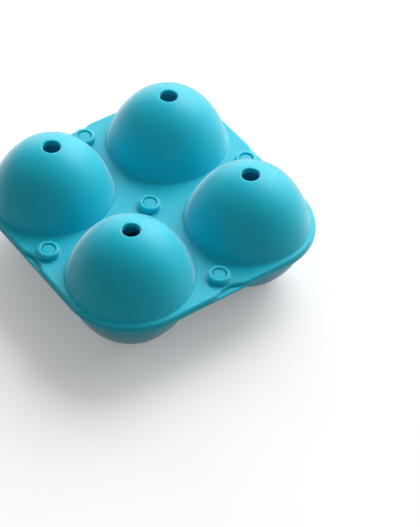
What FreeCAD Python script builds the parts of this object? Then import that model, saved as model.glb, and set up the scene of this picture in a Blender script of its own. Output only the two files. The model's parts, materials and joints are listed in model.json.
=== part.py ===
import FreeCAD, Part

import math
import os

import Sketcher

# Ice ball mould for four balls: two soft moulded halves that close on a flat parting plane.
# The lower half stands on the flat feet of its cups. The upper half lifts straight off five pegs.
# Origin: centre of the four feet, on the surface that they stand on. +Z is up.
# Both halves are drawn about the parting plane and then raised to their height.

# Driving dimensions in millimetres.
DIMENSIONS = {
    "ball_diameter": "45",
    "side_wall": "1.8",
    "crown_wall": "3.4",
    "crown_tuck": "1.2",
    "flank_bulge": "15.1",
    "cup_gap": "5.4",
    "rim_margin": "2.2",
    "upper_flange": "1.6",
    "lower_flange": "1.4",
    "rim_step": "0.3",
    "rim_round": "0.8",
    "lower_rim_round": "0.4",
    "dome_foot_round": "0.9",
    "notch_radius": "9.8",
    "notch_depth": "2",
    "notch_blend": "9.8",
    "fill_hole_diameter": "7",
    "fill_hole_round": "0.35",
    "throat_flare": "1.4",
    "peg_diameter": "5",
    "peg_clearance": "0.25",
    "peg_recess": "0.45",
    "peg_round": "0.35",
    "socket_wall": "1.7",
    "boss_height": "2.5",
    "boss_round": "1",
    "socket_round": "0.35",
    "boss_inset": "7.5",
    "foot_wall": "1.6",
    "foot_round": "1",
    "lip_thickness": "0.8",
    "lip_height": "1",
    "lip_side_clearance": "0.15",
    "lip_top_clearance": "0.2",
    "lip_round": "0.25",
}
HALVES = ("lower_mould", "upper_mould")
CUP_COUNT = 4
CUT_OVERRUN = 2.0
MATCH = 0.01

document = FreeCAD.newDocument("ice_ball_mould")
sizes = document.addObject("Spreadsheet::Sheet", "sizes")
for row, (name, text) in enumerate(DIMENSIONS.items(), start=1):
    sizes.set(f"A{row}", name)
    sizes.set(f"B{row}", text)
    sizes.setAlias(f"B{row}", name)
document.recompute()

# Sizes that follow from the driving dimensions, as expressions.
BALL_RADIUS = "sizes.ball_diameter / 2"
DOME_RADIUS = f"({BALL_RADIUS} + sizes.side_wall)"
CROWN_RADIUS = f"({BALL_RADIUS} - sizes.crown_tuck)"
FLANK_RADIUS = f"({BALL_RADIUS} + sizes.flank_bulge)"
APEX_HEIGHT = f"({BALL_RADIUS} + sizes.crown_wall)"
HALF_PITCH = f"({DOME_RADIUS} + sizes.cup_gap / 2)"
LOWER_REACH = f"({HALF_PITCH} + {DOME_RADIUS} + sizes.rim_margin)"
UPPER_REACH = f"({LOWER_REACH} - sizes.rim_step)"
LOWER_CORNER = f"({LOWER_REACH} - {HALF_PITCH})"
UPPER_CORNER = f"({UPPER_REACH} - {HALF_PITCH})"
BOSS_OFFSET = f"({LOWER_REACH} - sizes.boss_inset)"
SOCKET_RADIUS = "(sizes.peg_diameter / 2 + sizes.peg_clearance)"
BOSS_RADIUS = f"({SOCKET_RADIUS} + sizes.socket_wall)"
BOSS_TOP = "(sizes.upper_flange + sizes.boss_height)"
HOLE_RADIUS = "(sizes.fill_hole_diameter / 2)"
FOOT_DEPTH = f"({BALL_RADIUS} + sizes.foot_wall)"
LIP_RADIUS = f"({BALL_RADIUS} + sizes.lip_thickness)"
REBATE_RADIUS = f"({LIP_RADIUS} + sizes.lip_side_clearance)"
REBATE_DEPTH = "(sizes.lip_height + sizes.lip_top_clearance)"
UPPER_FOOT_ROUND = "min(sizes.dome_foot_round; sizes.rim_margin - sizes.rim_step - sizes.rim_round - 0.1)"
LOWER_FOOT_ROUND = "min(sizes.dome_foot_round; sizes.rim_margin - sizes.lower_rim_round - 0.1)"


def number(expression):
    """The present value of an expression on the driving dimensions."""
    result = sizes.evalExpression(expression)
    return float(getattr(result, "Value", result))


def vector(x, y):
    return FreeCAD.Vector(x, y, 0)


class Profile:
    """A closed, fully dimensioned sketch on one of its own body's origin planes."""

    def __init__(self, body, name, plane, offset=("0", "0", "0")):
        self.sketch = body.newObject("Sketcher::SketchObject", name)
        origin_planes = {feature.Role: feature for feature in body.Origin.OriginFeatures}
        self.sketch.AttachmentSupport = (origin_planes[plane], [""])
        self.sketch.MapMode = "FlatFace"
        for axis, expression in zip("xyz", offset):
            self.sketch.setExpression(f"AttachmentOffset.Base.{axis}", expression)

    def line(self, start, end):
        return self.sketch.addGeometry(Part.LineSegment(vector(*start), vector(*end)), False)

    def arc(self, centre, start, end):
        """Counter-clockwise arc about a centre."""
        first = math.atan2(start[1] - centre[1], start[0] - centre[0])
        last = math.atan2(end[1] - centre[1], end[0] - centre[0])
        if last < first:
            last += 2 * math.pi
        radius = math.hypot(start[0] - centre[0], start[1] - centre[1])
        circle = Part.Circle(vector(*centre), FreeCAD.Vector(0, 0, 1), radius)
        return self.sketch.addGeometry(Part.ArcOfCircle(circle, first, last), False)

    def circle(self, centre, radius):
        circle = Part.Circle(vector(*centre), FreeCAD.Vector(0, 0, 1), radius)
        return self.sketch.addGeometry(circle, False)

    def mark(self, place):
        """A construction point."""
        return self.sketch.addGeometry(Part.Point(vector(*place)), True)

    def hold(self, kind, *references):
        """Adds a geometric constraint."""
        return self.sketch.addConstraint(Sketcher.Constraint(kind, *references))

    def size(self, kind, *references, by):
        """Adds a dimension whose value is an expression."""
        index = self.sketch.addConstraint(Sketcher.Constraint(kind, *references, number(by)))
        self.sketch.setExpression(f"Constraints[{index}]", by)
        return index

    def level(self, *lines):
        for line in lines:
            self.hold("Horizontal", line)

    def upright(self, *lines):
        for line in lines:
            self.hold("Vertical", line)

    def join(self, *pairs):
        """Joins the end of each element to the start of the next."""
        for (first, first_end), (second, second_end) in pairs:
            self.hold("Coincident", first, first_end, second, second_end)


START, END, CENTRE = 1, 2, 3
ORIGIN = (-1, 1)
ACROSS, UP = -1, -2


def beyond(centre, point, distance):
    """The point at a distance from a centre, in the direction of another point."""
    share = distance / math.dist(centre, point)
    return centre[0] + share * (point[0] - centre[0]), centre[1] + share * (point[1] - centre[1])


def below(point):
    """The mirror image of a point below the parting plane."""
    return point[0], -point[1]


class DomeForm:
    """First places for the points of a dome's outer profile above the parting plane."""

    def __init__(self, base_height, foot_round):
        crown, flank = number(CROWN_RADIUS), number(FLANK_RADIUS)
        self.base = (number(DOME_RADIUS), base_height)
        self.crown_centre = (0.0, number(APEX_HEIGHT) - crown)
        span = math.dist(self.base, self.crown_centre)
        along = (span ** 2 + flank ** 2 - (flank - crown) ** 2) / (2 * span)
        aside = math.sqrt(flank ** 2 - along ** 2)
        foot_to_crown = (-self.base[0] / span, (self.crown_centre[1] - base_height) / span)
        self.flank_centre = (
            self.base[0] + along * foot_to_crown[0] - aside * abs(foot_to_crown[1]),
            base_height + along * foot_to_crown[1] - aside * abs(foot_to_crown[0]),
        )
        self.shoulder = beyond(self.flank_centre, self.crown_centre, flank)
        rise = base_height + foot_round - self.flank_centre[1]
        foot_reach = self.flank_centre[0] + math.sqrt((flank + foot_round) ** 2 - rise ** 2)
        self.foot_centre = (foot_reach, base_height + foot_round)
        self.foot_edge = (foot_reach, base_height)
        self.foot_end = beyond(self.flank_centre, self.foot_centre, flank)


def rounded_square(profile, reach, corner):
    """Four sides and four equal corners about the origin."""
    half, radius = number(reach), number(corner)
    near = half - radius
    sides, corners = [], []
    for turn in range(CUP_COUNT):
        def turned(x, y):
            for _ in range(turn):
                x, y = -y, x
            return x, y

        sides.append(profile.line(turned(-near, -half), turned(near, -half)))
        corners.append(profile.arc(turned(near, -near), turned(near, -half), turned(half, -near)))
    for turn in range(CUP_COUNT):
        profile.hold("Tangent", sides[turn], END, corners[turn], START)
        profile.hold("Tangent", corners[turn], END, sides[(turn + 1) % CUP_COUNT], START)
    profile.level(sides[0], sides[2])
    profile.upright(sides[1], sides[3])
    for turn in range(1, CUP_COUNT):
        profile.hold("Equal", corners[0], corners[turn])
    profile.size("Radius", corners[0], by=corner)
    profile.size("DistanceY", sides[0], START, *ORIGIN, by=reach)
    profile.size("DistanceY", *ORIGIN, sides[2], START, by=reach)
    profile.size("DistanceX", *ORIGIN, sides[1], START, by=reach)
    profile.size("DistanceX", sides[3], START, *ORIGIN, by=reach)


def five_circles(profile, radius):
    """One circle at the centre and one near the middle of each side."""
    offset = number(BOSS_OFFSET)
    places = ((0, 0), (offset, 0), (0, offset), (-offset, 0), (0, -offset))
    rings = [profile.circle(place, number(radius)) for place in places]
    profile.hold("Coincident", rings[0], CENTRE, *ORIGIN)
    for ring, axis in zip(rings[1:], (ACROSS, UP, ACROSS, UP)):
        profile.hold("PointOnObject", ring, CENTRE, axis)
    for ring in rings[1:]:
        profile.hold("Equal", rings[0], ring)
    profile.size("Radius", rings[0], by=radius)
    profile.size("DistanceX", *ORIGIN, rings[1], CENTRE, by=BOSS_OFFSET)
    profile.size("DistanceY", *ORIGIN, rings[2], CENTRE, by=BOSS_OFFSET)
    profile.size("DistanceX", rings[3], CENTRE, *ORIGIN, by=BOSS_OFFSET)
    profile.size("DistanceY", rings[4], CENTRE, *ORIGIN, by=BOSS_OFFSET)


def cup_section(body, name):
    """A sketch in the upright plane of one cup, with its local origin at the cup's ball centre."""
    return Profile(body, name, "XZ_Plane", offset=(f"-{HALF_PITCH}", "0", HALF_PITCH))


def finish(body, feature):
    """Makes the feature the body's result and works it out."""
    body.Tip = feature
    document.recompute()
    return feature


def pad(body, name, profile, length, downward=False):
    feature = body.newObject("PartDesign::Pad", name)
    feature.Profile = profile.sketch
    feature.setExpression("Length", length)
    feature.Reversed = downward
    return finish(body, feature)


def pocket_up(body, name, profile, length):
    feature = body.newObject("PartDesign::Pocket", name)
    feature.Profile = profile.sketch
    feature.setExpression("Length", length)
    feature.Reversed = True
    return finish(body, feature)


def turn_profile(body, name, kind, profile):
    """A full revolution, added or cut, about the sketch's upright axis."""
    feature = body.newObject(kind, name)
    feature.Profile = profile.sketch
    feature.ReferenceAxis = (profile.sketch, ["V_Axis"])
    feature.Angle = 360
    return finish(body, feature)


def four_fold(body, name, feature):
    """Repeats a feature at the four quarter turns about the mould's upright axis."""
    origin_axes = {item.Role: item for item in body.Origin.OriginFeatures}
    pattern = body.newObject("PartDesign::PolarPattern", name)
    pattern.Originals = [feature]
    pattern.Axis = (origin_axes["Z_Axis"], [""])
    pattern.Angle = 360
    pattern.Occurrences = CUP_COUNT
    return finish(body, pattern)


def round_edges(body, name, base, wanted, radius):
    """Rounds every edge of the base feature that the test picks."""
    edges = [f"Edge{index}" for index, edge in enumerate(base.Shape.Edges, start=1) if wanted(edge)]
    if not edges:
        raise RuntimeError(f"{name} finds no edge")
    feature = body.newObject("PartDesign::Fillet", name)
    feature.Base = (base, edges)
    feature.setExpression("Radius", radius)
    return finish(body, feature)


def flat_at(height):
    """A test for edges that lie in the level plane at a height."""
    level = number(height)
    return lambda edge: abs(edge.BoundBox.ZMin - level) < MATCH and abs(edge.BoundBox.ZMax - level) < MATCH


def ring_at(radius, height=None):
    """A test for level round edges of a radius, at a height if one is given."""
    wanted_radius = number(radius)

    def wanted(edge):
        if edge.Degenerated or edge.BoundBox.ZLength > MATCH or not isinstance(edge.Curve, Part.Circle):
            return False
        if abs(edge.Curve.Radius - wanted_radius) > MATCH:
            return False
        return height is None or abs(edge.Curve.Center.z - number(height)) < MATCH

    return wanted


def upright_edges(edge):
    return edge.BoundBox.ZLength > MATCH and edge.BoundBox.XLength < MATCH and edge.BoundBox.YLength < MATCH


def new_half(name):
    body = document.addObject("PartDesign::Body", name)
    body.Label = name
    return body


def add_notches(body):
    """Cuts a finger notch into the middle of each side and blends it into the sides."""
    profile = Profile(body, "notch_section", "XY_Plane")
    reach = number(UPPER_REACH)
    radius = number("sizes.notch_radius")
    centre = (0.0, -reach - radius + number("sizes.notch_depth"))
    ring = profile.circle(centre, radius)
    profile.hold("PointOnObject", ring, CENTRE, UP)
    profile.size("Radius", ring, by="sizes.notch_radius")
    outside = f"{UPPER_REACH} + sizes.notch_radius - sizes.notch_depth"
    profile.size("DistanceY", ring, CENTRE, *ORIGIN, by=outside)
    cut = pocket_up(body, "notch", profile, "sizes.upper_flange")
    notches = four_fold(body, "notches", cut)
    half_pitch = number(HALF_PITCH)

    def notch_end(edge):
        place = edge.CenterOfMass
        return upright_edges(edge) and min(abs(place.x), abs(place.y)) < half_pitch - MATCH

    return round_edges(body, "notch_blends", notches, notch_end, "sizes.notch_blend")


def upper_dome_profile(body):
    """The outside of an upper dome: foot round, steep flank, tighter crown, and the rim of the fill hole."""
    profile = cup_section(body, "dome_section")
    form = DomeForm(number("sizes.upper_flange"), number(UPPER_FOOT_ROUND))
    hole, rim_round = number(HOLE_RADIUS), number("sizes.fill_hole_round")
    crown_radius = number(CROWN_RADIUS)
    rim_level = form.crown_centre[1] + math.sqrt((crown_radius - rim_round) ** 2 - (hole + rim_round) ** 2)
    rim_centre = (hole + rim_round, rim_level)
    rim_start = beyond(form.crown_centre, rim_centre, crown_radius)
    foot_reach = form.foot_edge[0]
    floor = profile.line((hole, 0), (foot_reach, 0))
    wall = profile.line((foot_reach, 0), form.foot_edge)
    foot = profile.arc(form.foot_centre, form.foot_end, form.foot_edge)
    flank = profile.arc(form.flank_centre, form.foot_end, form.shoulder)
    crown = profile.arc(form.crown_centre, form.shoulder, rim_start)
    rim = profile.arc(rim_centre, rim_start, (hole, rim_level))
    bore = profile.line((hole, rim_level), (hole, 0))
    base = profile.mark(form.base)
    profile.join(
        ((floor, END), (wall, START)),
        ((wall, END), (foot, END)),
        ((bore, END), (floor, START)),
    )
    profile.hold("Tangent", foot, START, flank, START)
    profile.hold("Tangent", flank, END, crown, START)
    profile.hold("Tangent", crown, END, rim, START)
    profile.hold("Tangent", rim, END, bore, START)
    profile.hold("Vertical", foot, CENTRE, foot, END)
    profile.level(floor)
    profile.upright(wall, bore)
    profile.hold("PointOnObject", floor, START, ACROSS)
    profile.hold("PointOnObject", base, START, flank)
    profile.hold("PointOnObject", crown, CENTRE, UP)
    profile.size("DistanceX", *ORIGIN, base, START, by=DOME_RADIUS)
    profile.size("DistanceY", *ORIGIN, base, START, by="sizes.upper_flange")
    profile.size("DistanceX", *ORIGIN, floor, START, by=HOLE_RADIUS)
    profile.size("DistanceY", *ORIGIN, wall, END, by="sizes.upper_flange")
    profile.size("DistanceY", *ORIGIN, crown, CENTRE, by=f"{APEX_HEIGHT} - {CROWN_RADIUS}")
    profile.size("Radius", foot, by=UPPER_FOOT_ROUND)
    profile.size("Radius", flank, by=FLANK_RADIUS)
    profile.size("Radius", crown, by=CROWN_RADIUS)
    profile.size("Radius", rim, by="sizes.fill_hole_round")
    return profile


def upper_cavity_profile(body):
    """The inside of an upper dome: a rebate for the lower lip, the ball, and a flared throat."""
    profile = cup_section(body, "upper_cavity_section")
    ball, rebate = number(BALL_RADIUS), number(REBATE_RADIUS)
    step, hole, flare = number(REBATE_DEPTH), number(HOLE_RADIUS), number("sizes.throat_flare")
    shoulder = (math.sqrt(ball ** 2 - step ** 2), step)
    throat = (hole + flare, math.sqrt(ball ** 2 - (hole + flare) ** 2))
    neck_level = throat[1] + flare
    floor = profile.line((0, 0), (rebate, 0))
    side = profile.line((rebate, 0), (rebate, step))
    ledge = profile.line((rebate, step), shoulder)
    dome = profile.arc((0, 0), shoulder, throat)
    cone = profile.line(throat, (hole, neck_level))
    lid = profile.line((hole, neck_level), (0, neck_level))
    axis = profile.line((0, neck_level), (0, 0))
    profile.hold("Coincident", floor, START, *ORIGIN)
    profile.hold("Coincident", dome, CENTRE, *ORIGIN)
    profile.join(
        ((floor, END), (side, START)),
        ((side, END), (ledge, START)),
        ((ledge, END), (dome, START)),
        ((dome, END), (cone, START)),
        ((cone, END), (lid, START)),
        ((lid, END), (axis, START)),
        ((axis, END), (floor, START)),
    )
    profile.level(floor, ledge, lid)
    profile.upright(side, axis)
    profile.size("DistanceX", *ORIGIN, floor, END, by=REBATE_RADIUS)
    profile.size("DistanceY", *ORIGIN, side, END, by=REBATE_DEPTH)
    profile.size("Radius", dome, by=BALL_RADIUS)
    profile.size("DistanceX", *ORIGIN, cone, END, by=HOLE_RADIUS)
    profile.size("DistanceX", cone, END, cone, START, by="sizes.throat_flare")
    profile.size("DistanceY", cone, START, cone, END, by="sizes.throat_flare")
    return profile


def lower_cup_profile(body):
    """The outside of a lower cup: a dome cut off flat as a foot, with a low lip above the flange."""
    profile = cup_section(body, "cup_section")
    form = DomeForm(number("sizes.lower_flange"), number(LOWER_FOOT_ROUND))
    crown_radius, depth = number(CROWN_RADIUS), number(FOOT_DEPTH)
    lip, lip_top = number(LIP_RADIUS), number("sizes.lip_height")
    foot = math.sqrt(crown_radius ** 2 - (depth - form.crown_centre[1]) ** 2)
    shoulder, root_end, root_edge = below(form.shoulder), below(form.foot_end), below(form.foot_edge)
    sole = profile.line((0, -depth), (foot, -depth))
    crown = profile.arc(below(form.crown_centre), (foot, -depth), shoulder)
    flank = profile.arc(below(form.flank_centre), shoulder, root_end)
    root = profile.arc(below(form.foot_centre), root_edge, root_end)
    wall = profile.line(root_edge, (root_edge[0], 0))
    shelf = profile.line((root_edge[0], 0), (lip, 0))
    lip_side = profile.line((lip, 0), (lip, lip_top))
    lip_edge = profile.line((lip, lip_top), (0, lip_top))
    axis = profile.line((0, lip_top), (0, -depth))
    base = profile.mark(below(form.base))
    profile.join(
        ((sole, END), (crown, START)),
        ((root, START), (wall, START)),
        ((wall, END), (shelf, START)),
        ((shelf, END), (lip_side, START)),
        ((lip_side, END), (lip_edge, START)),
        ((lip_edge, END), (axis, START)),
        ((axis, END), (sole, START)),
    )
    profile.hold("Tangent", crown, END, flank, START)
    profile.hold("Tangent", flank, END, root, END)
    profile.hold("Vertical", root, CENTRE, root, START)
    profile.level(sole, shelf, lip_edge)
    profile.upright(wall, lip_side, axis)
    profile.hold("PointOnObject", base, START, flank)
    profile.hold("PointOnObject", sole, START, UP)
    profile.hold("PointOnObject", crown, CENTRE, UP)
    profile.hold("PointOnObject", shelf, START, ACROSS)
    profile.size("DistanceX", *ORIGIN, base, START, by=DOME_RADIUS)
    profile.size("DistanceY", base, START, *ORIGIN, by="sizes.lower_flange")
    profile.size("DistanceY", wall, START, *ORIGIN, by="sizes.lower_flange")
    profile.size("DistanceX", *ORIGIN, lip_side, START, by=LIP_RADIUS)
    profile.size("DistanceY", *ORIGIN, lip_side, END, by="sizes.lip_height")
    profile.size("Radius", root, by=LOWER_FOOT_ROUND)
    profile.size("Radius", flank, by=FLANK_RADIUS)
    profile.size("Radius", crown, by=CROWN_RADIUS)
    profile.size("DistanceY", sole, START, *ORIGIN, by=FOOT_DEPTH)
    profile.size("DistanceY", crown, CENTRE, *ORIGIN, by=f"{APEX_HEIGHT} - {CROWN_RADIUS}")
    return profile


def lower_cavity_profile(body):
    """The inside of a lower cup: half a ball, open upwards through the lip."""
    profile = cup_section(body, "lower_cavity_section")
    ball = number(BALL_RADIUS)
    top = number("sizes.lip_height") + CUT_OVERRUN
    bowl = profile.arc((0, 0), (0, -ball), (ball, 0))
    side = profile.line((ball, 0), (ball, top))
    lid = profile.line((ball, top), (0, top))
    axis = profile.line((0, top), (0, -ball))
    profile.hold("Coincident", bowl, CENTRE, *ORIGIN)
    profile.join(
        ((bowl, END), (side, START)),
        ((side, END), (lid, START)),
        ((lid, END), (axis, START)),
        ((axis, END), (bowl, START)),
    )
    profile.level(lid)
    profile.upright(side, axis)
    profile.hold("PointOnObject", bowl, START, UP)
    profile.hold("PointOnObject", bowl, END, ACROSS)
    profile.size("Radius", bowl, by=BALL_RADIUS)
    profile.size("DistanceY", *ORIGIN, side, END, by=f"sizes.lip_height + {CUT_OVERRUN}")
    return profile


def build_upper_half():
    """Flange with four notches, four domes with fill holes, and five peg sockets in round bosses."""
    body = new_half("upper_mould")
    outline = Profile(body, "upper_outline", "XY_Plane")
    rounded_square(outline, UPPER_REACH, UPPER_CORNER)
    pad(body, "upper_flange", outline, "sizes.upper_flange")
    notched = add_notches(body)
    round_edges(body, "upper_rim", notched, flat_at("sizes.upper_flange"), "sizes.rim_round")
    dome = turn_profile(body, "dome", "PartDesign::Revolution", upper_dome_profile(body))
    four_fold(body, "domes", dome)

    boss_plan = Profile(body, "boss_plan", "XY_Plane")
    five_circles(boss_plan, BOSS_RADIUS)
    bosses = pad(body, "bosses", boss_plan, BOSS_TOP)
    rounded = round_edges(body, "boss_rounds", bosses, ring_at(BOSS_RADIUS, BOSS_TOP), "sizes.boss_round")
    socket_plan = Profile(body, "socket_plan", "XY_Plane")
    five_circles(socket_plan, SOCKET_RADIUS)
    sockets = pocket_up(body, "sockets", socket_plan, BOSS_TOP)
    round_edges(body, "socket_rounds", sockets, ring_at(SOCKET_RADIUS, BOSS_TOP), "sizes.socket_round")

    cavity = turn_profile(body, "upper_cavity", "PartDesign::Groove", upper_cavity_profile(body))
    four_fold(body, "upper_cavities", cavity)
    return body


def build_lower_half():
    """Flange, four cups with flat feet and sealing lips, and five pegs."""
    body = new_half("lower_mould")
    outline = Profile(body, "lower_outline", "XY_Plane")
    rounded_square(outline, LOWER_REACH, LOWER_CORNER)
    flange = pad(body, "lower_flange", outline, "sizes.lower_flange", downward=True)
    round_edges(body, "lower_rim", flange, lambda edge: not upright_edges(edge), "sizes.lower_rim_round")
    cup = turn_profile(body, "cup", "PartDesign::Revolution", lower_cup_profile(body))
    cups = four_fold(body, "cups", cup)
    sole = flat_at(f"-{FOOT_DEPTH}")
    standing = round_edges(body, "foot_rounds", cups, sole, "sizes.foot_round")
    lip = ring_at(LIP_RADIUS, "sizes.lip_height")
    round_edges(body, "lip_rounds", standing, lip, "sizes.lip_round")

    cavity = turn_profile(body, "lower_cavity", "PartDesign::Groove", lower_cavity_profile(body))
    four_fold(body, "lower_cavities", cavity)
    peg_plan = Profile(body, "peg_plan", "XY_Plane")
    five_circles(peg_plan, "sizes.peg_diameter / 2")
    peg_height = f"({BOSS_TOP} - sizes.peg_recess)"
    pegs = pad(body, "pegs", peg_plan, peg_height)
    round_edges(body, "peg_rounds", pegs, ring_at("sizes.peg_diameter / 2", peg_height), "sizes.peg_round")
    return body


def check_model():
    """Stops if any object failed to work out or any half is not one valid solid."""
    for item in document.Objects:
        if "Invalid" in item.State or "Error" in item.State:
            raise RuntimeError(f"{item.Name} failed: {item.State}")
        if item.isDerivedFrom("Sketcher::SketchObject"):
            freedom = item.solve()
            if freedom != 0:
                raise RuntimeError(f"{item.Name} does not solve: {freedom}")
    for name in HALVES:
        shape = document.getObject(name).Shape
        if shape.isNull() or not shape.isValid() or len(shape.Solids) != 1:
            raise RuntimeError(f"{name} is not one valid solid")


halves = [build_lower_half(), build_upper_half()]
for half in halves:
    half.setExpression("Placement.Base.z", FOOT_DEPTH)
document.recompute()
check_model()
os.makedirs("parts", exist_ok=True)
for half in halves:
    half.Shape.exportStep(os.path.join("parts", f"{half.Label}.step"))
    box = half.Shape.optimalBoundingBox(False)
    extent = f"{box.XLength:.2f} x {box.YLength:.2f} x {box.ZLength:.2f}"
    print(f"{half.Label}: volume {half.Shape.Volume:.1f}, faces {len(half.Shape.Faces)}, extent {extent}")
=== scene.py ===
"""A closed two-part silicone mould with four round cavities, standing on a pale studio floor.

The upper half carries four domes with fill holes and five round bosses. The sockets of the bosses
take the pegs of the lower half, whose four cups stand on the floor with their flat feet.
Lengths are in metres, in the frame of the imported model.
"""

import json
import logging
import math
from collections.abc import Callable, Iterable
from dataclasses import dataclass
from enum import Enum

import bmesh
import bpy
from mathutils import Euler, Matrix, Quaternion, Vector

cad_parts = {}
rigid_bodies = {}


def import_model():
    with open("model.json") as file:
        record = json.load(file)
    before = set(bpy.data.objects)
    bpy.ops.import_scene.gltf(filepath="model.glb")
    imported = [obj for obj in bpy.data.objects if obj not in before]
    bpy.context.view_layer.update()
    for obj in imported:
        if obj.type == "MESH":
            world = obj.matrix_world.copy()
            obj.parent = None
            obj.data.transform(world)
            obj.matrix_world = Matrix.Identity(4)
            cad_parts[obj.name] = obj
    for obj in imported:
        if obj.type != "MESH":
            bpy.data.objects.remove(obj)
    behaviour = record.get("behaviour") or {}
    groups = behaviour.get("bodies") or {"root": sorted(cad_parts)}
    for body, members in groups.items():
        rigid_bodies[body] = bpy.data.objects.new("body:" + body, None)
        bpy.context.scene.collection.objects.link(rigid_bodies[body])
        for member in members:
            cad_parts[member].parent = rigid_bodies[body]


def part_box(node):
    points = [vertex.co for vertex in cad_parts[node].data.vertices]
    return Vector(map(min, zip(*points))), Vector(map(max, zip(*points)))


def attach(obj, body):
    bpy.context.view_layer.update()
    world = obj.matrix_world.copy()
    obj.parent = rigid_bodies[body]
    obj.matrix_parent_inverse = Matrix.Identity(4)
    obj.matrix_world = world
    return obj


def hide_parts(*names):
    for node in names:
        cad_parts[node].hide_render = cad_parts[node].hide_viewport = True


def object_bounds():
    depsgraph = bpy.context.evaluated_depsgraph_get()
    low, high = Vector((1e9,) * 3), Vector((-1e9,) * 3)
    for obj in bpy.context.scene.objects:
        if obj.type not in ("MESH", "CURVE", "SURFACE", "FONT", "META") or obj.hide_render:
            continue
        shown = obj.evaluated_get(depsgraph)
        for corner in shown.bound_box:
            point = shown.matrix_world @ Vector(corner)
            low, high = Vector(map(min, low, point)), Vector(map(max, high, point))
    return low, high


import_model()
CAD_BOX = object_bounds()

MM = 0.001
QUARTER_TURN = math.pi / 2
FULL_TURN = 2 * math.pi
CUP_COUNT = 4
TOLERANCE = 0.001 * MM  # Points and heights that are closer than this count as one.
LEVEL_NORMAL = 0.999  # A face lies level when its normal's Z is above this.
ARC_PROFILE = 0.5  # The bevel profile of a circular arc.
MID_VALUE = 0.5  # The middle of a noise value's range.
HEIGHT_UNIT = 1.0  # The grain's heights are in metres.
CLOUD_DETAIL, CLOUD_ROUGHNESS = 3.0, 0.55  # Finer layers of the clouds' noise.
GRAIN_DETAIL, GRAIN_ROUGHNESS = 2.0, 0.5  # Finer layers of the grain's noise.

Point = tuple[float, float]
Colour = tuple[float, float, float, float]

log = logging.getLogger("silicone_mould")


class Half(Enum):
    """The two halves of the mould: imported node, body that it rides on and material slot."""

    LOWER = ("lower_mould", "lower", "silicone_lower")
    UPPER = ("upper_mould", "upper", "silicone_upper")

    def __init__(self, node: str, body: str, slot: str) -> None:
        """Names what belongs to a half.

        Args:
            node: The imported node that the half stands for.
            body: The body that it rides on.
            slot: Its material slot.
        """
        self.node = node
        self.body = body
        self.slot = slot


class Plane(Enum):
    """The plane that a line is drawn in, by its two directions."""

    PLAN = ((1.0, 0.0, 0.0), (0.0, 1.0, 0.0))
    SECTION = ((1.0, 0.0, 0.0), (0.0, 0.0, 1.0))

    @property
    def axis(self) -> Vector:
        """The direction about which a positive arc of this plane turns."""
        return Vector(self.value[0]).cross(Vector(self.value[1]))

    def place(self, origin: Vector, point: Point) -> Vector:
        """The place in space of a point of this plane, measured from an origin."""
        return origin + point[0] * Vector(self.value[0]) + point[1] * Vector(self.value[1])


class Side(Enum):
    """The side of the parting plane that a dome lies on, as the sign of its heights."""

    ABOVE = 1.0
    BELOW = -1.0


class LampShape(Enum):
    """The outline of a flat lamp: its name in the lamp's settings and its share of the box round it."""

    RECTANGLE = ("RECTANGLE", 1.0)
    ELLIPSE = ("ELLIPSE", math.pi / 4)

    def __init__(self, kind: str, share: float) -> None:
        """Names an outline and its share of the box around it."""
        self.kind = kind
        self.share = share


@dataclass(frozen=True)
class Stroke:
    """One stretch of a drawn line: straight, or an arc about a point, the short way round."""

    to: Point
    about: Point | None = None
    steps: int = 1

    def turn_from(self, start: Point) -> float:
        """The signed angle that the arc sweeps.

        Args:
            start: Where the arc begins.

        Returns:
            The angle in radians, between minus and plus half a turn.
        """
        first = math.atan2(start[1] - self.about[1], start[0] - self.about[0])
        last = math.atan2(self.to[1] - self.about[1], self.to[0] - self.about[0])
        return (last - first + math.pi) % FULL_TURN - math.pi


Line = tuple[Point, list[Stroke]]


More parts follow.
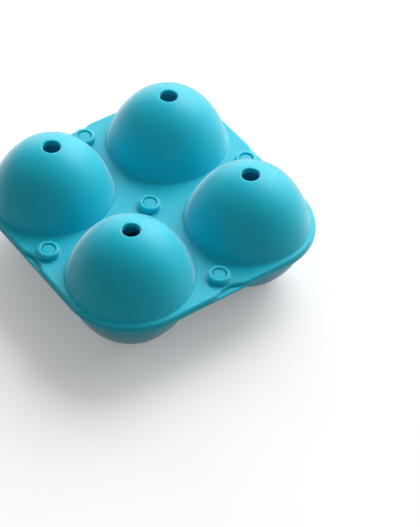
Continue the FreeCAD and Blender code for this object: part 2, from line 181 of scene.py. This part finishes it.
class Bench:
    """One mesh object in edit mode, shaped with the modelling operators."""

    def __init__(self, name: str) -> None:
        """Starts an empty mesh.

        Args:
            name: The finished piece's name.
        """
        bpy.ops.object.select_all(action="DESELECT")
        bpy.ops.mesh.primitive_plane_add(size=MM)
        self.piece: bpy.types.Object = bpy.context.object
        self.piece.name = name
        self.piece.data.name = name
        bpy.ops.object.mode_set(mode="EDIT")
        bpy.ops.mesh.select_mode(type="VERT")
        bpy.ops.mesh.select_all(action="SELECT")
        bpy.ops.mesh.delete(type="VERT")

    def draw(self, plane: Plane, origin: Vector, line: Line) -> None:
        """Draws a line of strokes and leaves the whole line selected.

        The spin operator turns clockwise about its axis, so an arc's angle is given negated.

        Args:
            plane: The plane that the line lies in.
            origin: The place of the plane's zero point.
            line: The line's first point and the strokes that follow one another from there.
        """
        here, strokes = line
        bpy.ops.mesh.select_mode(type="VERT")
        bpy.ops.mesh.select_all(action="DESELECT")
        bpy.ops.mesh.primitive_plane_add(size=MM, location=plane.place(origin, here))
        bpy.ops.mesh.merge(type="CENTER")
        for stroke in strokes:
            if stroke.about is None:
                move = plane.place(origin, stroke.to) - plane.place(origin, here)
                bpy.ops.mesh.extrude_region_move(TRANSFORM_OT_translate={"value": move})
            else:
                bpy.ops.mesh.spin(
                    steps=stroke.steps,
                    angle=-stroke.turn_from(here),
                    center=plane.place(origin, stroke.about),
                    axis=plane.axis,
                )
            here = stroke.to
        bpy.ops.mesh.select_linked()

    def turn_section(self, origin: Vector, line: Line, segments: int) -> None:
        """Draws a half section and spins it a full turn about the upright line through a place.

        Args:
            origin: The place of the section's zero point.
            line: The half section.
            segments: How many stretches the round has.
        """
        self.draw(Plane.SECTION, origin, line)
        bpy.ops.mesh.spin(steps=segments, angle=FULL_TURN, center=origin, axis=(0.0, 0.0, 1.0))
        bpy.ops.mesh.select_linked()
        bpy.ops.mesh.remove_doubles(threshold=TOLERANCE)

    def copy_round(self) -> None:
        """Copies the selected part to the other three quarter turns about the middle."""
        middle = (0.0, 0.0, 0.0)
        for _ in range(CUP_COUNT - 1):
            bpy.ops.mesh.duplicate()
            bpy.ops.transform.rotate(value=QUARTER_TURN, orient_axis="Z", center_override=middle)

    def select_edges(self, wanted: Callable[[bmesh.types.BMEdge], bool]) -> None:
        """Selects just the edges that a test picks.

        Args:
            wanted: The test.
        """
        bpy.ops.mesh.select_mode(type="EDGE")
        bpy.ops.mesh.select_all(action="DESELECT")
        mesh = bmesh.from_edit_mesh(self.piece.data)
        for edge in mesh.edges:
            if wanted(edge):
                edge.select_set(True)
        mesh.select_flush_mode()
        bmesh.update_edit_mesh(self.piece.data)

    def fill_level(self, height: float, hold: float) -> None:
        """Closes a level plane between all open rims that lie in it.

        Args:
            height: The plane's height.
            hold: Width of the band of flat faces that follows each rim and keeps the plane's
                shading flat.
        """
        self.select_edges(lambda edge: edge.is_boundary and lies_at(edge, height))
        bpy.ops.mesh.fill(use_beauty=True)
        bpy.ops.mesh.select_mode(type="FACE")
        bpy.ops.mesh.inset(thickness=hold, depth=0.0, use_boundary=True, use_even_offset=True)

    def plate(self, height: float, quarter: Line, thickness: float) -> None:
        """Makes a solid plate from a quarter of its outline.

        Args:
            height: Height of the plate's upper face.
            quarter: The outline from the middle of one side to the middle of the next.
            thickness: How far the plate reaches down.
        """
        self.draw(Plane.PLAN, Vector((0.0, 0.0, height)), quarter)
        self.copy_round()
        bpy.ops.mesh.select_all(action="SELECT")
        bpy.ops.mesh.remove_doubles(threshold=TOLERANCE)
        bpy.ops.mesh.edge_face_add()
        bpy.ops.mesh.extrude_region_move(TRANSFORM_OT_translate={"value": (0.0, 0.0, -thickness)})

    def round_rim(self, height: float, radius: float, steps: int) -> None:
        """Rounds the plate's rim at a height.

        Args:
            height: The rim's height.
            radius: The round's radius.
            steps: Steps of its arc.
        """
        self.select_edges(lambda edge: lies_at(edge, height))
        bpy.ops.mesh.bevel(
            offset_type="OFFSET",
            offset=radius,
            segments=steps,
            profile=ARC_PROFILE,
            affect="EDGES",
            clamp_overlap=False,
        )

    def open_plate(self) -> None:
        """Takes the plate's two level faces away and keeps its wall."""
        bpy.ops.mesh.select_mode(type="FACE")
        bpy.ops.mesh.select_all(action="DESELECT")
        mesh = bmesh.from_edit_mesh(self.piece.data)
        for face in mesh.faces:
            if abs(face.normal.z) > LEVEL_NORMAL:
                face.select_set(True)
        bmesh.update_edit_mesh(self.piece.data)
        bpy.ops.mesh.delete(type="ONLY_FACE")

    def finish(self, sharp_angle: float) -> bpy.types.Object:
        """Joins the parts into one closed skin that faces outwards.

        Args:
            sharp_angle: Edges that turn by more than this stay sharp, in radians.

        Returns:
            The finished piece, at the origin, unturned and unscaled.
        """
        bpy.ops.mesh.select_mode(type="VERT")
        bpy.ops.mesh.select_all(action="SELECT")
        bpy.ops.mesh.remove_doubles(threshold=TOLERANCE)
        bpy.ops.mesh.normals_make_consistent(inside=False)
        bpy.ops.mesh.select_all(action="DESELECT")
        bpy.ops.object.mode_set(mode="OBJECT")
        bpy.ops.object.shade_smooth_by_angle(angle=sharp_angle)
        return self.piece


def lies_at(edge: bmesh.types.BMEdge, height: float) -> bool:
    """Whether both ends of an edge lie at a height."""
    return all(abs(vertex.co.z - height) < TOLERANCE for vertex in edge.verts)


class Nodes:
    """A short way to add and join nodes in a material, world or group tree."""

    def __init__(self, tree: bpy.types.NodeTree) -> None:
        """Clears a node tree and works on it."""
        self.tree = tree
        tree.nodes.clear()

    def join(self, socket: bpy.types.NodeSocket, value: object) -> None:
        """Gives an input its value.

        Args:
            socket: The input.
            value: A number, a colour, or an output socket that is linked to the input.
        """
        if isinstance(value, bpy.types.NodeSocket):
            self.tree.links.new(value, socket)
        else:
            socket.default_value = value

    def add(self, kind: str, **settings: object) -> bpy.types.Node:
        """Adds a node.

        Args:
            kind: The node's type name.
            **settings: Attributes of the node, such as its operation.

        Returns:
            The new node.
        """
        node = self.tree.nodes.new(kind)
        for name, value in settings.items():
            setattr(node, name, value)
        return node

    def feed(self, node: bpy.types.Node, **values: object) -> bpy.types.Node:
        """Sets or joins a node's inputs by name.

        Args:
            node: The node to feed.
            **values: Per input, its name with underscores for spaces, and its value or an output
                socket.

        Returns:
            The same node.
        """
        for name, value in values.items():
            self.join(in_use(node.inputs, name.replace("_", " ")), value)
        return node

    def combine(self, kind: str, *values: object, **settings: object) -> bpy.types.NodeSocket:
        """Adds a node and sets or joins its inputs in their order.

        Args:
            kind: The node's type name.
            *values: Per input, its value or an output socket.
            **settings: Attributes of the node, such as its operation.

        Returns:
            The node's first output.
        """
        node = self.add(kind, **settings)
        for socket, value in zip(node.inputs, values):
            self.join(socket, value)
        return node.outputs[0]

    def calculate(self, operation: str, *values: object) -> bpy.types.NodeSocket:
        """The result of a Math node on numbers or output sockets."""
        return self.combine("ShaderNodeMath", *values, operation=operation)

    def tint(self, share: bpy.types.NodeSocket, first: Colour, second: Colour) -> bpy.types.NodeSocket:
        """Blends two colours.

        Args:
            share: How much of the second colour there is.
            first: The colour where the share is zero.
            second: The colour where it is one.

        Returns:
            The blended colour.
        """
        mix = self.feed(self.add("ShaderNodeMix", data_type="RGBA"), Factor=share, A=first, B=second)
        return in_use(mix.outputs, "Result")

    def noise(self, size: bpy.types.NodeSocket, detail: float, roughness: float) -> bpy.types.NodeSocket:
        """Soft noise that is fixed to the piece.

        Args:
            size: The size of its waves in metres.
            detail: How many finer layers it has.
            roughness: How strong the finer layers are.

        Returns:
            The noise, a value from zero to one.
        """
        scale = self.calculate("DIVIDE", 1.0, size)
        place = self.add("ShaderNodeTexCoord").outputs["Object"]
        waves = self.add("ShaderNodeTexNoise")
        self.feed(waves, Vector=place, Scale=scale, Detail=detail, Roughness=roughness)
        return waves.outputs["Fac"]


def in_use(sockets: Iterable[bpy.types.NodeSocket], name: str) -> bpy.types.NodeSocket:
    """The socket of a name that is in use, as a Mix node has one for each kind of value."""
    return next(socket for socket in sockets if socket.name == name and socket.enabled)


def new_group(name: str, inputs: Iterable[str], output: str) -> Nodes | None:
    """Starts a shared node group with number inputs and one number output.

    Args:
        name: The group's name.
        inputs: The inputs' names.
        output: The output's name.

    Returns:
        The nodes to work on, or None if the group has been made before.
    """
    if name in bpy.data.node_groups:
        return None
    group = bpy.data.node_groups.new(name, "ShaderNodeTree")
    for label in inputs:
        group.interface.new_socket(label, in_out="INPUT", socket_type="NodeSocketFloat")
    group.interface.new_socket(output, in_out="OUTPUT", socket_type="NodeSocketFloat")
    return Nodes(group)


def clouding_group() -> bpy.types.NodeTree:
    """Slow, soft clouds of a value around a half, as in pigmented rubber.

    Returns:
        The shared group, made at its first use.
    """
    nodes = new_group("clouding", ("Size", "Amount"), "Value")
    if nodes:
        given, result = nodes.add("NodeGroupInput").outputs, nodes.add("NodeGroupOutput")
        centred = nodes.calculate(
            "SUBTRACT", nodes.noise(given["Size"], CLOUD_DETAIL, CLOUD_ROUGHNESS), MID_VALUE
        )
        nodes.feed(result, Value=nodes.calculate("MULTIPLY_ADD", centred, given["Amount"], MID_VALUE))
    return bpy.data.node_groups["clouding"]


def grain_group() -> bpy.types.NodeTree:
    """The fine matt texture that a blasted steel tool leaves on moulded rubber, as a height.

    Returns:
        The shared group, made at its first use.
    """
    nodes = new_group("moulded_grain", ("Grain", "Waviness", "Wave Share"), "Height")
    if nodes:
        given, result = nodes.add("NodeGroupInput").outputs, nodes.add("NodeGroupOutput")
        grain, waves = (
            nodes.calculate("MULTIPLY", nodes.noise(size, GRAIN_DETAIL, GRAIN_ROUGHNESS), size)
            for size in (given["Grain"], given["Waviness"])
        )
        nodes.feed(result, Height=nodes.calculate("MULTIPLY_ADD", waves, given["Wave Share"], grain))
    return bpy.data.node_groups["moulded_grain"]


@dataclass(frozen=True)
class SiliconeFinish:
    """Matt moulded silicone with a faint sheen: soft clouds in the pigment over a fine grain."""

    name: str = "turquoise_silicone"
    colour: Colour = (0.0, 0.49, 0.63, 1.0)
    cloud_colour: Colour = (0.0, 0.51, 0.66, 1.0)
    cloud_size: float = 18 * MM
    cloud_amount: float = 1.0
    roughness: float = 0.42
    roughness_spread: float = 0.05
    grain_size: float = 0.22 * MM
    wave_size: float = 14 * MM
    wave_share: float = 0.004
    grain_depth: float = 0.25
    refraction: float = 1.36
    sheen: float = 0.9
    sheen_roughness: float = 0.32
    glow: float = 0.45
    glow_depth: float = 3.5 * MM
    glow_reach: tuple[float, float, float] = (0.3, 1.0, 1.0)

    def material(self) -> bpy.types.Material:
        """The finish as a material.

        Returns:
            The material, made once and then shared.
        """
        if self.name in bpy.data.materials:
            return bpy.data.materials[self.name]
        material = bpy.data.materials.new(self.name)
        material.use_nodes = True
        nodes = Nodes(material.node_tree)
        clouds = nodes.add("ShaderNodeGroup", node_tree=clouding_group())
        nodes.feed(clouds, Size=self.cloud_size, Amount=self.cloud_amount)
        matt = nodes.feed(
            nodes.add("ShaderNodeMapRange"),
            Value=clouds.outputs["Value"],
            To_Min=self.roughness - self.roughness_spread / 2,
            To_Max=self.roughness + self.roughness_spread / 2,
        )
        grain = nodes.add("ShaderNodeGroup", node_tree=grain_group())
        nodes.feed(grain, Grain=self.grain_size, Waviness=self.wave_size, Wave_Share=self.wave_share)
        bump = nodes.feed(
            nodes.add("ShaderNodeBump"),
            Strength=self.grain_depth,
            Distance=HEIGHT_UNIT,
            Height=grain.outputs["Height"],
        )
        skin = nodes.feed(
            nodes.add("ShaderNodeBsdfPrincipled"),
            Base_Color=nodes.tint(clouds.outputs["Value"], self.colour, self.cloud_colour),
            Roughness=matt.outputs["Result"],
            Normal=bump.outputs["Normal"],
            IOR=self.refraction,
            Sheen_Weight=self.sheen,
            Sheen_Roughness=self.sheen_roughness,
            Subsurface_Weight=self.glow,
            Subsurface_Scale=self.glow_depth,
            Subsurface_Radius=self.glow_reach,
        )
        nodes.feed(nodes.add("ShaderNodeOutputMaterial"), Surface=skin.outputs["BSDF"])
        return material


@dataclass(frozen=True)
class CupForm:
    """The shapes that both halves share: the round cavity and the egg-like dome around it."""

    cavity_radius: float = 22.5 * MM
    dome_radius: float = 24.3 * MM
    flank_radius: float = 37.6 * MM
    crown_radius: float = 21.3 * MM
    apex: float = 25.9 * MM
    foot_round: float = 0.9 * MM
    half_pitch: float = 27.0 * MM
    boss_offset: float = 46.0 * MM
    cavity_steps: int = 36
    flank_steps: int = 18
    round_steps: int = 5
    cup_segments: int = 128
    boss_segments: int = 48

    @property
    def crown_centre(self) -> Point:
        """Centre of the crown arc, above the parting plane."""
        return (0.0, self.apex - self.crown_radius)

    def flank_centre(self, flange: float) -> Point:
        """Centre of the flank arc.

        Args:
            flange: Thickness of the flange that the dome stands on.

        Returns:
            The point below the flange's face that lies one flank radius from the dome's base, on
            the line that also carries the crown arc's centre and its tangent point.
        """
        base = Vector((self.dome_radius, flange))
        crown = Vector(self.crown_centre)
        span = (crown - base).length
        reach = self.flank_radius - self.crown_radius
        along = (span**2 + self.flank_radius**2 - reach**2) / (2 * span)
        aside = math.sqrt(self.flank_radius**2 - along**2)
        direction = (crown - base) / span
        centre = base + along * direction - aside * Vector((direction.y, -direction.x))
        return (centre.x, centre.y)

    def dome(self, side: Side, flange: float, crown_end: Point, crown_steps: int) -> Line:
        """The outside of a dome from the flange's face to the end of its crown arc.

        Args:
            side: The side of the parting plane that the dome lies on.
            flange: Distance of the flange's face from the parting plane.
            crown_end: Where the crown arc ends.
            crown_steps: Steps of the crown arc.

        Returns:
            The first point, on the flange's face, and the strokes from there.
        """

        def flip(point: Vector) -> Point:
            """Puts a point on the dome's side of the parting plane."""
            return (point.x, side.value * point.y)

        flank, crown = Vector(self.flank_centre(flange)), Vector(self.crown_centre)
        rise = flange + self.foot_round - flank.y
        reach = math.sqrt((self.flank_radius + self.foot_round) ** 2 - rise**2)
        round_centre = Vector((flank.x + reach, flank.y + rise))
        foot_end = flank + (round_centre - flank).normalized() * self.flank_radius
        crown_start = crown + (crown - flank).normalized() * self.crown_radius
        return (round_centre.x, side.value * flange), [
            Stroke(flip(foot_end), flip(round_centre), self.round_steps),
            Stroke(flip(crown_start), flip(flank), self.flank_steps),
            Stroke(crown_end, flip(crown), crown_steps),
        ]

    def cup_origin(self, parting: float) -> Vector:
        """The cavity's centre in the cup that is drawn first, on the parting plane."""
        return Vector((self.half_pitch, self.half_pitch, parting))

    def boss_origins(self, parting: float) -> tuple[Vector, Vector]:
        """Places of the middle boss and of the first side boss, on the parting plane."""
        return Vector((0.0, 0.0, parting)), Vector((self.boss_offset, 0.0, parting))


def corner_strokes(reach: float, corner: float, steps: int) -> list[Stroke]:
    """The front right corner of a square plate, from one straight side to the next.

    Args:
        reach: Half the plate's width.
        corner: The corner's radius.
        steps: Steps of the arc.

    Returns:
        A straight stroke up to the corner and the corner's arc.
    """
    near = reach - corner
    return [Stroke((near, -reach)), Stroke((reach, -near), (near, -near), steps)]


@dataclass
class MouldHalf:
    """What the two halves have in common: their form, their finish and how they are handed over."""

    form: CupForm
    finish: SiliconeFinish
    sharp_angle: float = math.radians(32)
    hold: float = 0.12 * MM
    corner_steps: int = 28

    def hand_over(self, half: Half, piece: bpy.types.Object) -> bpy.types.Object:
        """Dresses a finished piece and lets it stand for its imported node.

        Args:
            half: Which half the piece is.
            piece: The finished mesh.

        Returns:
            The same piece, riding on its body.
        """
        piece.data.materials.append(self.finish.material())
        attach(piece, half.body)
        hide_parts(half.node)
        return piece


@dataclass
class UpperHalf(MouldHalf):
    """Flange with finger notches, four domes with fill holes and five socket bosses."""

    flange: float = 1.6 * MM
    rim_round: float = 0.8 * MM
    rim_steps: int = 6
    notch_radius: float = 9.8 * MM
    notch_depth: float = 2.0 * MM
    notch_blend: float = 9.8 * MM
    notch_steps: int = 8
    crown_steps: int = 30
    fill_radius: float = 3.5 * MM
    fill_round: float = 0.35 * MM
    fill_steps: int = 6
    throat_flare: float = 1.4 * MM
    rebate_radius: float = 23.45 * MM
    rebate_depth: float = 1.2 * MM
    boss_radius: float = 4.45 * MM
    boss_top: float = 4.1 * MM
    boss_round: float = 1.0 * MM
    boss_steps: int = 6
    socket_radius: float = 2.75 * MM
    socket_round: float = 0.35 * MM
    socket_steps: int = 4

    def quarter_outline(self, reach: float) -> Line:
        """A quarter of the flange's outline, from one notch's middle to the next.

        Args:
            reach: Half the flange's width.

        Returns:
            The first point and the strokes from there.
        """
        steps = self.notch_steps
        notch_centre = (0.0, -reach - self.notch_radius + self.notch_depth)
        rise = self.notch_radius + self.notch_blend - self.notch_depth
        aside = math.sqrt((self.notch_radius + self.notch_blend) ** 2 - rise**2)
        blend_centre = (aside, -reach + self.notch_blend)
        share = self.notch_radius / (self.notch_radius + self.notch_blend)
        meet = (aside * share, notch_centre[1] + rise * share)
        return (0.0, -reach + self.notch_depth), [
            Stroke(meet, notch_centre, steps),
            Stroke((aside, -reach), blend_centre, steps),
            *corner_strokes(reach, reach - self.form.half_pitch, self.corner_steps),
            Stroke((reach, -aside)),
            Stroke((-meet[1], -meet[0]), (-blend_centre[1], -blend_centre[0]), steps),
            Stroke((reach - self.notch_depth, 0.0), (-notch_centre[1], 0.0), steps),
        ]

    def dome_section(self) -> Line:
        """The half section of one dome's whole skin: outside, fill hole and inside.

        Returns:
            The first point, on the flange's face, and the strokes to the parting plane.
        """
        crown = Vector(self.form.crown_centre)
        inner = self.form.crown_radius - self.fill_round
        rim = Vector((self.fill_radius + self.fill_round, 0.0))
        rim.y = self.form.crown_centre[1] + math.sqrt(inner**2 - rim.x**2)
        rim_start = crown + (rim - crown) * self.form.crown_radius / inner
        throat = self.fill_radius + self.throat_flare
        throat_height = math.sqrt(self.form.cavity_radius**2 - throat**2)
        shoulder = math.sqrt(self.form.cavity_radius**2 - self.rebate_depth**2)
        start, outside = self.form.dome(Side.ABOVE, self.flange, tuple(rim_start), self.crown_steps)
        return start, [
            *outside,
            Stroke((self.fill_radius, rim.y), tuple(rim), self.fill_steps),
            Stroke((self.fill_radius, throat_height + self.throat_flare)),
            Stroke((throat, throat_height)),
            Stroke((shoulder, self.rebate_depth), (0.0, 0.0), self.form.cavity_steps),
            Stroke((self.rebate_radius, self.rebate_depth)),
            Stroke((self.rebate_radius, 0.0)),
        ]

    def boss_section(self) -> Line:
        """The half section of a boss, down through its socket.

        Returns:
            The first point, on the flange's face, and the strokes to the parting plane.
        """
        shoulder = (self.boss_radius - self.boss_round, self.boss_top - self.boss_round)
        mouth = (self.socket_radius + self.socket_round, self.boss_top - self.socket_round)
        return (self.boss_radius, self.flange), [
            Stroke((self.boss_radius, shoulder[1])),
            Stroke((shoulder[0], self.boss_top), shoulder, self.boss_steps),
            Stroke((mouth[0], self.boss_top)),
            Stroke((self.socket_radius, mouth[1]), mouth, self.socket_steps),
            Stroke((self.socket_radius, 0.0)),
        ]

    def build(self) -> bpy.types.Object:
        """Models the upper half.

        Returns:
            The finished piece, dressed and riding on its body.
        """
        low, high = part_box(Half.UPPER.node)
        parting, top = low.z, low.z + self.flange
        bench = Bench("upper_mould_silicone")
        bench.plate(top, self.quarter_outline(high.x), self.flange)
        bench.round_rim(top, self.rim_round, self.rim_steps)
        bench.open_plate()
        cup = self.form.cup_origin(parting)
        bench.turn_section(cup, self.dome_section(), self.form.cup_segments)
        bench.copy_round()
        for origin in self.form.boss_origins(parting):
            bench.turn_section(origin, self.boss_section(), self.form.boss_segments)
        bench.copy_round()
        for height in (top, parting):
            bench.fill_level(height, self.hold)
        return self.hand_over(Half.UPPER, bench.finish(self.sharp_angle))


@dataclass
class LowerHalf(MouldHalf):
    """Flange, four cups with flat feet and sealing lips, and five pegs."""

    flange: float = 1.4 * MM
    rim_round: float = 0.4 * MM
    rim_steps: int = 4
    lip_radius: float = 23.3 * MM
    lip_height: float = 1.0 * MM
    lip_round: float = 0.25 * MM
    lip_steps: int = 4
    crown_steps: int = 24
    sole_round: float = 1.0 * MM
    peg_radius: float = 2.5 * MM
    peg_top: float = 3.65 * MM
    peg_round: float = 0.35 * MM
    peg_steps: int = 5

    def quarter_outline(self, reach: float) -> Line:
        """A quarter of the flange's outline, from one side's middle to the next."""
        corner = corner_strokes(reach, reach - self.form.half_pitch, self.corner_steps)
        return (0.0, -reach), [*corner, Stroke((reach, 0.0))]

    def bowl_section(self) -> Line:
        """The half section of a cup's inside, with the lip that seals the cavity's seam.

        Returns:
            The first point, at the lip's foot, and the strokes to the bowl's bottom.
        """
        lip = (self.lip_radius - self.lip_round, self.lip_height - self.lip_round)
        return (self.lip_radius, 0.0), [
            Stroke((self.lip_radius, lip[1])),
            Stroke((lip[0], self.lip_height), lip, self.lip_steps),
            Stroke((self.form.cavity_radius, self.lip_height)),
            Stroke((self.form.cavity_radius, 0.0)),
            Stroke((0.0, -self.form.cavity_radius), (0.0, 0.0), self.form.cavity_steps),
        ]

    def cup_section(self, depth: float) -> Line:
        """The half section of a cup's outside, with its flat foot.

        Args:
            depth: How far the foot lies below the parting plane.

        Returns:
            The first point, under the flange, and the strokes to the foot's middle.
        """
        crown = Vector((0.0, -self.form.crown_centre[1]))
        inner = self.form.crown_radius - self.sole_round
        sole = Vector((0.0, -depth + self.sole_round))
        sole.x = math.sqrt(inner**2 - (sole.y - crown.y) ** 2)
        crown_end = crown + (sole - crown) * self.form.crown_radius / inner
        start, outside = self.form.dome(Side.BELOW, self.flange, tuple(crown_end), self.crown_steps)
        foot = [Stroke((sole.x, -depth), tuple(sole), self.form.round_steps), Stroke((0.0, -depth))]
        return start, outside + foot

    def peg_section(self) -> Line:
        """The half section of a peg.

        Returns:
            The first point, on the parting plane, and the strokes to the middle of the peg's top.
        """
        shoulder = (self.peg_radius - self.peg_round, self.peg_top - self.peg_round)
        return (self.peg_radius, 0.0), [
            Stroke((self.peg_radius, shoulder[1])),
            Stroke((shoulder[0], self.peg_top), shoulder, self.peg_steps),
            Stroke((0.0, self.peg_top)),
        ]

    def build(self) -> bpy.types.Object:
        """Models the lower half.

        Returns:
            The finished piece, dressed and riding on its body.
        """
        low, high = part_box(Half.LOWER.node)
        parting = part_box(Half.UPPER.node)[0].z
        faces = (parting, parting - self.flange)
        bench = Bench("lower_mould_silicone")
        bench.plate(parting, self.quarter_outline(high.x), self.flange)
        for height in faces:
            bench.round_rim(height, self.rim_round, self.rim_steps)
        bench.open_plate()
        cup = self.form.cup_origin(parting)
        for section in (self.bowl_section(), self.cup_section(parting - low.z)):
            bench.turn_section(cup, section, self.form.cup_segments)
            bench.copy_round()
        for origin in self.form.boss_origins(parting):
            bench.turn_section(origin, self.peg_section(), self.form.boss_segments)
        bench.copy_round()
        for height in faces:
            bench.fill_level(height, self.hold)
        return self.hand_over(Half.LOWER, bench.finish(self.sharp_angle))


@dataclass(frozen=True)
class Panel:
    """One flat soft lamp that faces the mould.

    Width and height are the angles that it fills as seen from there. All angles are in degrees,
    and the azimuth counts from the mould's front to its right.
    """

    name: str
    radiance: float
    azimuth: float
    elevation: float
    width: float
    height: float
    roll: float = 0.0
    shape: LampShape = LampShape.RECTANGLE
    distance: float = 3.0

    @property
    def towards(self) -> Vector:
        """The direction from the mould to the panel's middle.

        Returns:
            The direction, one metre long.
        """
        azimuth, elevation = math.radians(self.azimuth), math.radians(self.elevation)
        level = math.cos(elevation)
        return Vector((math.sin(azimuth) * level, -math.cos(azimuth) * level, math.sin(elevation)))

    def span(self, angle: float) -> float:
        """The length on the panel that fills an angle."""
        return 2 * self.distance * math.tan(math.radians(angle / 2))

    def hang(self) -> None:
        """Hangs the panel, which no camera sees."""
        roll = Quaternion((0.0, 0.0, 1.0), math.radians(self.roll))
        turn = self.towards.to_track_quat("Z", "Y") @ roll
        place = self.distance * self.towards
        bpy.ops.object.light_add(type="AREA", location=place, rotation=turn.to_euler())
        lamp = bpy.context.object
        lamp.name = self.name
        lamp.visible_camera = False
        lamp.data.shape = self.shape.kind
        lamp.data.size = self.span(self.width)
        lamp.data.size_y = self.span(self.height)
        area = lamp.data.size * lamp.data.size_y * self.shape.share
        lamp.data.energy = self.radiance * math.pi * area


@dataclass(frozen=True)
class Studio:
    """A pale floor, a wide soft panel on the right and a weak even light all round.

    The round panel over the wide one's middle makes its light stronger there.
    """

    floor_size: float = 12.0
    floor_colour: Colour = (0.93, 0.93, 0.93, 1.0)
    floor_bounce: Colour = (0.2, 0.2, 0.2, 1.0)
    floor_white: Colour = (1.0, 1.0, 1.0, 1.0)
    floor_glow: float = 0.24
    surround: Colour = (0.33, 0.33, 0.33, 1.0)
    panels: tuple[Panel, ...] = (
        Panel(
            "wide_panel",
            radiance=2.15,
            azimuth=120.0,
            elevation=29.0,
            width=104.0,
            height=58.0,
            roll=-12.0,
        ),
        Panel(
            "panel_middle",
            radiance=4.6,
            azimuth=112.0,
            elevation=42.0,
            width=40.0,
            height=40.0,
            shape=LampShape.ELLIPSE,
        ),
    )

    def floor_material(self) -> bpy.types.Material:
        """A matt white for what looks at the floor, duller for the light that it gives back.

        Returns:
            The floor's material, which a camera below the floor sees through.
        """
        material = bpy.data.materials.new("studio_floor")
        material.use_nodes = True
        nodes = Nodes(material.node_tree)
        rays = nodes.add("ShaderNodeLightPath").outputs
        looks = rays["Is Camera Ray"]
        for kind in ("Is Glossy Ray", "Is Transmission Ray"):
            looks = nodes.calculate("MAXIMUM", looks, rays[kind])
        colour = nodes.tint(looks, self.floor_bounce, self.floor_colour)
        paint = nodes.feed(nodes.add("ShaderNodeBsdfDiffuse"), Color=colour)
        pale = nodes.feed(nodes.add("ShaderNodeEmission"), Color=self.floor_white, Strength=1.0)
        lifted = nodes.combine(
            "ShaderNodeMixShader",
            nodes.calculate("MULTIPLY", looks, self.floor_glow),
            paint.outputs["BSDF"],
            pale.outputs["Emission"],
        )
        below = nodes.add("ShaderNodeNewGeometry").outputs["Backfacing"]
        surface = nodes.combine(
            "ShaderNodeMixShader",
            nodes.calculate("MULTIPLY", below, rays["Is Camera Ray"]),
            lifted,
            nodes.add("ShaderNodeBsdfTransparent").outputs["BSDF"],
        )
        nodes.feed(nodes.add("ShaderNodeOutputMaterial"), Surface=surface)
        return material

    def lay_floor(self) -> None:
        """Lays the floor at the height of the feet."""
        bpy.ops.object.select_all(action="DESELECT")
        bpy.ops.mesh.primitive_plane_add(size=self.floor_size, location=(0.0, 0.0, CAD_BOX[0].z))
        floor = bpy.context.object
        floor.name = "studio_floor"
        floor.data.materials.append(self.floor_material())

    def surround_world(self) -> None:
        """Gives the plain, weak surroundings."""
        world = bpy.data.worlds.new("studio_surround")
        bpy.context.scene.world = world
        world.use_nodes = True
        nodes = Nodes(world.node_tree)
        even = nodes.feed(nodes.add("ShaderNodeBackground"), Color=self.surround, Strength=1.0)
        nodes.feed(nodes.add("ShaderNodeOutputWorld"), Surface=even.outputs["Background"])

    def build(self) -> None:
        """Sets up the floor, the light and the surroundings."""
        self.lay_floor()
        for panel in self.panels:
            panel.hang()
        self.surround_world()
        bpy.context.scene.view_settings.view_transform = "Standard"
        log.info("studio: floor at %.4f m", CAD_BOX[0].z)


@dataclass(frozen=True)
class Viewpoint:
    """The camera at the photograph's angle: above and in front on the left, with a long lens."""

    place: tuple[float, float, float] = (-0.32346, -0.45937, 0.56229)
    turn_degrees: tuple[float, float, float] = (44.714, -2.079, -35.544)
    lens: float = 137.49
    sensor_width: float = 36.0
    clip_start: float = 0.01

    def build(self) -> None:
        """Adds the camera and makes it the scene's."""
        turn = Euler([math.radians(angle) for angle in self.turn_degrees])
        bpy.ops.object.camera_add(location=self.place, rotation=turn)
        camera = bpy.context.object
        camera.name = "photo_camera"
        camera.data.lens = self.lens
        camera.data.sensor_width = self.sensor_width
        camera.data.clip_start = self.clip_start
        bpy.context.scene.camera = camera
        log.info("camera: %.1f mm lens", self.lens)


def main() -> None:
    """Builds the camera, the studio and the two halves in order, and reports each piece."""
    logging.basicConfig(level=logging.INFO, format="%(name)s: %(message)s")
    Viewpoint().build()
    Studio().build()
    form, finish = CupForm(), SiliconeFinish()
    for half in (LowerHalf(form, finish), UpperHalf(form, finish)):
        piece = half.build()
        log.info("%s: %d faces", piece.name, len(piece.data.polygons))


if __name__ == "__main__":
    main()
